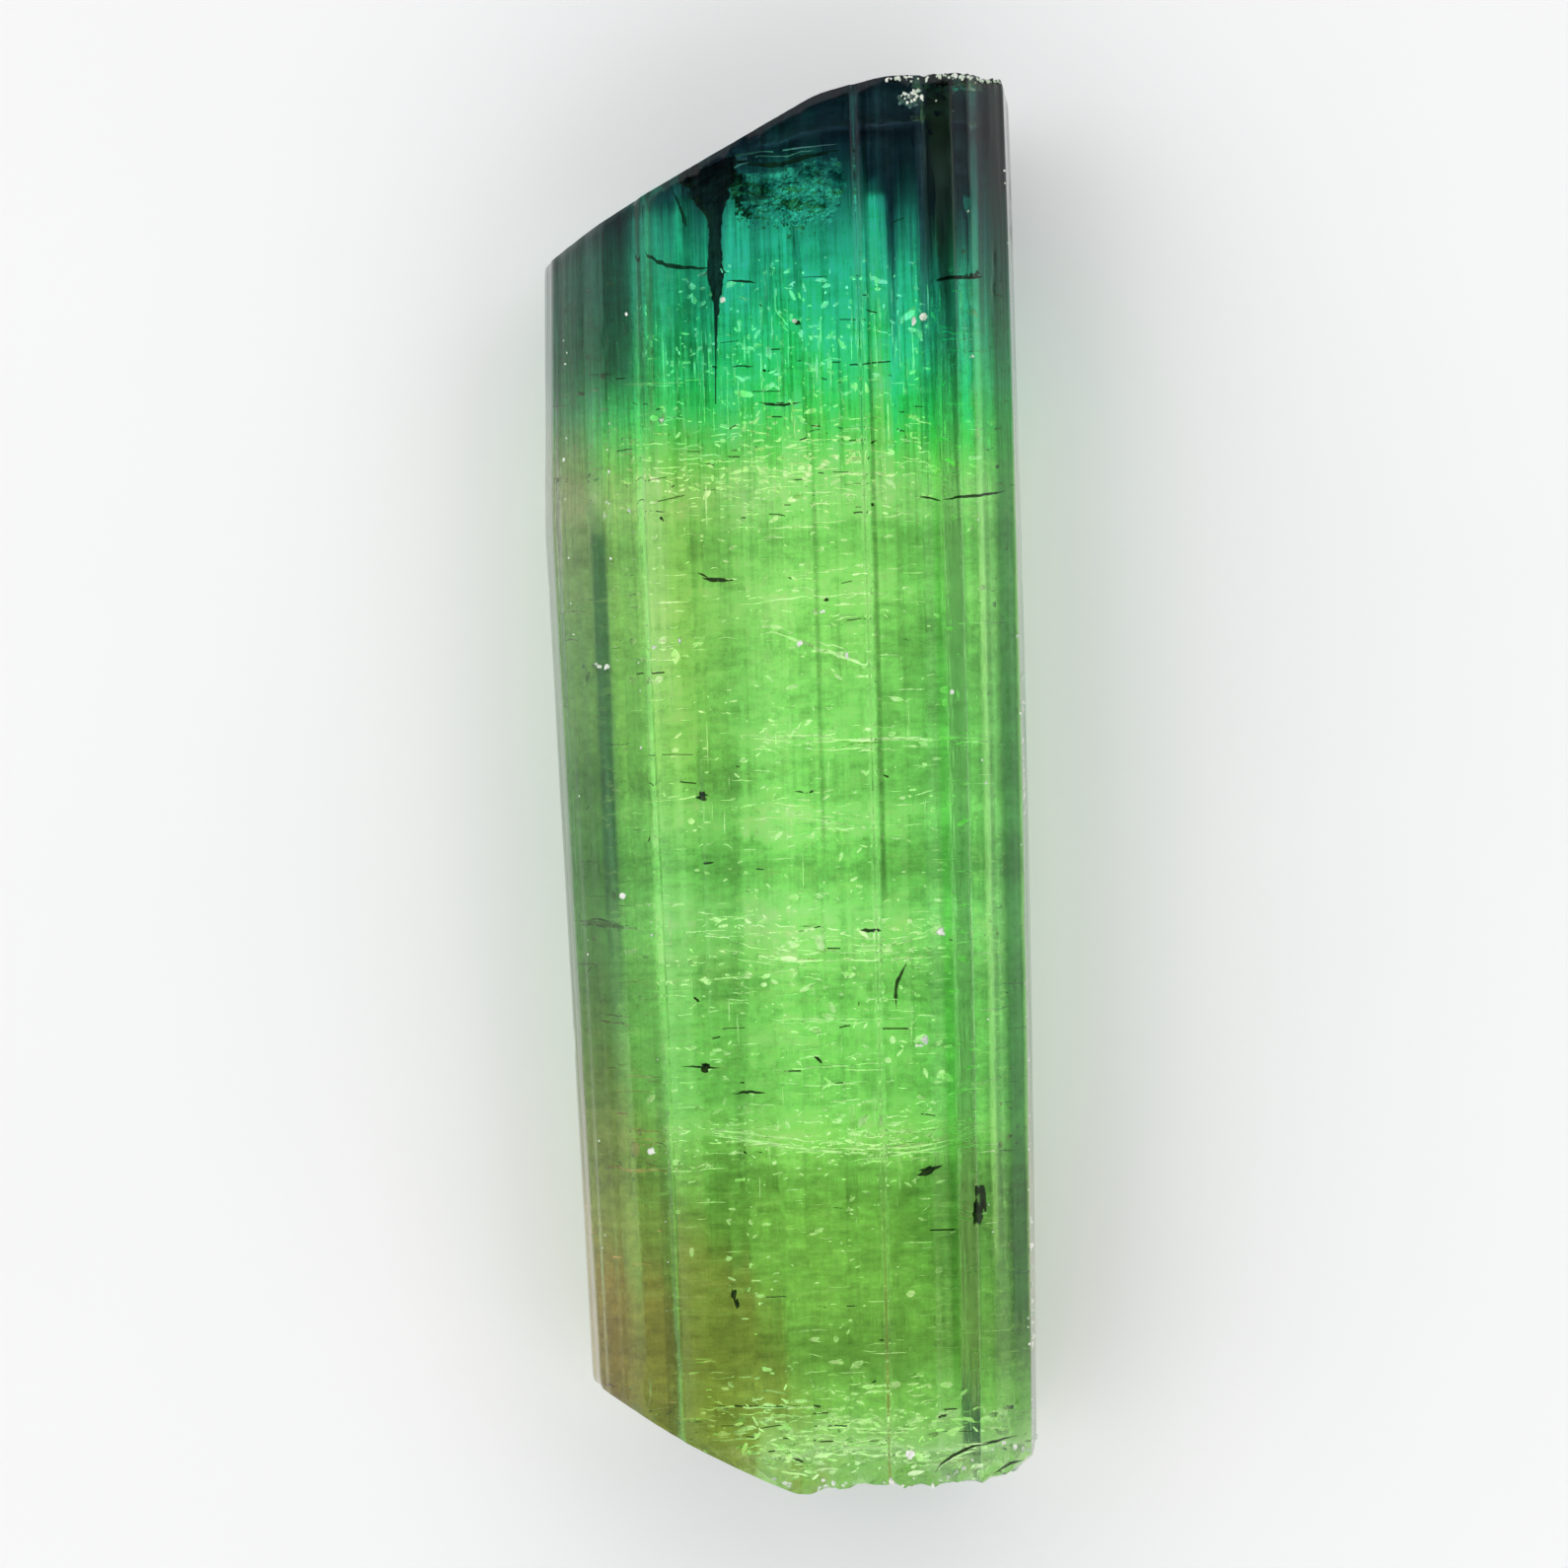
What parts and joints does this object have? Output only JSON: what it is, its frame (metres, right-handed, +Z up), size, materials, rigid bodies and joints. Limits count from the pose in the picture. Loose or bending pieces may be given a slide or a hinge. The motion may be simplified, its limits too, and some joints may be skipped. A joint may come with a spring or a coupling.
{
  "type": "tourmaline crystal",
  "caption": "Green tourmaline prism with a dark blue cap, sloping end faces, lengthwise growth lines and a broken base; lies on its back prism face.",
  "frame": {"origin": "centre of the bounding box in X and Y, on the plane of the back prism face that it rests on", "axes": "+Y along the crystal's long axis (its c-axis) towards the dark blue end, +Z up out of the broad front prism face, +X to the right seen from above with +Y up the page"},
  "size_m": [0.0146, 0.0424, 0.0108],
  "materials": {
    "tourmaline": "clear yellow-green crystal, teal to near-black blue at the +Y end, glassy faces with fine lengthwise growth lines, rough break at the -Y end"
  },
  "bodies": {
    "root": {"tourmaline_crystal": "tourmaline"}
  },
  "joints": []
}
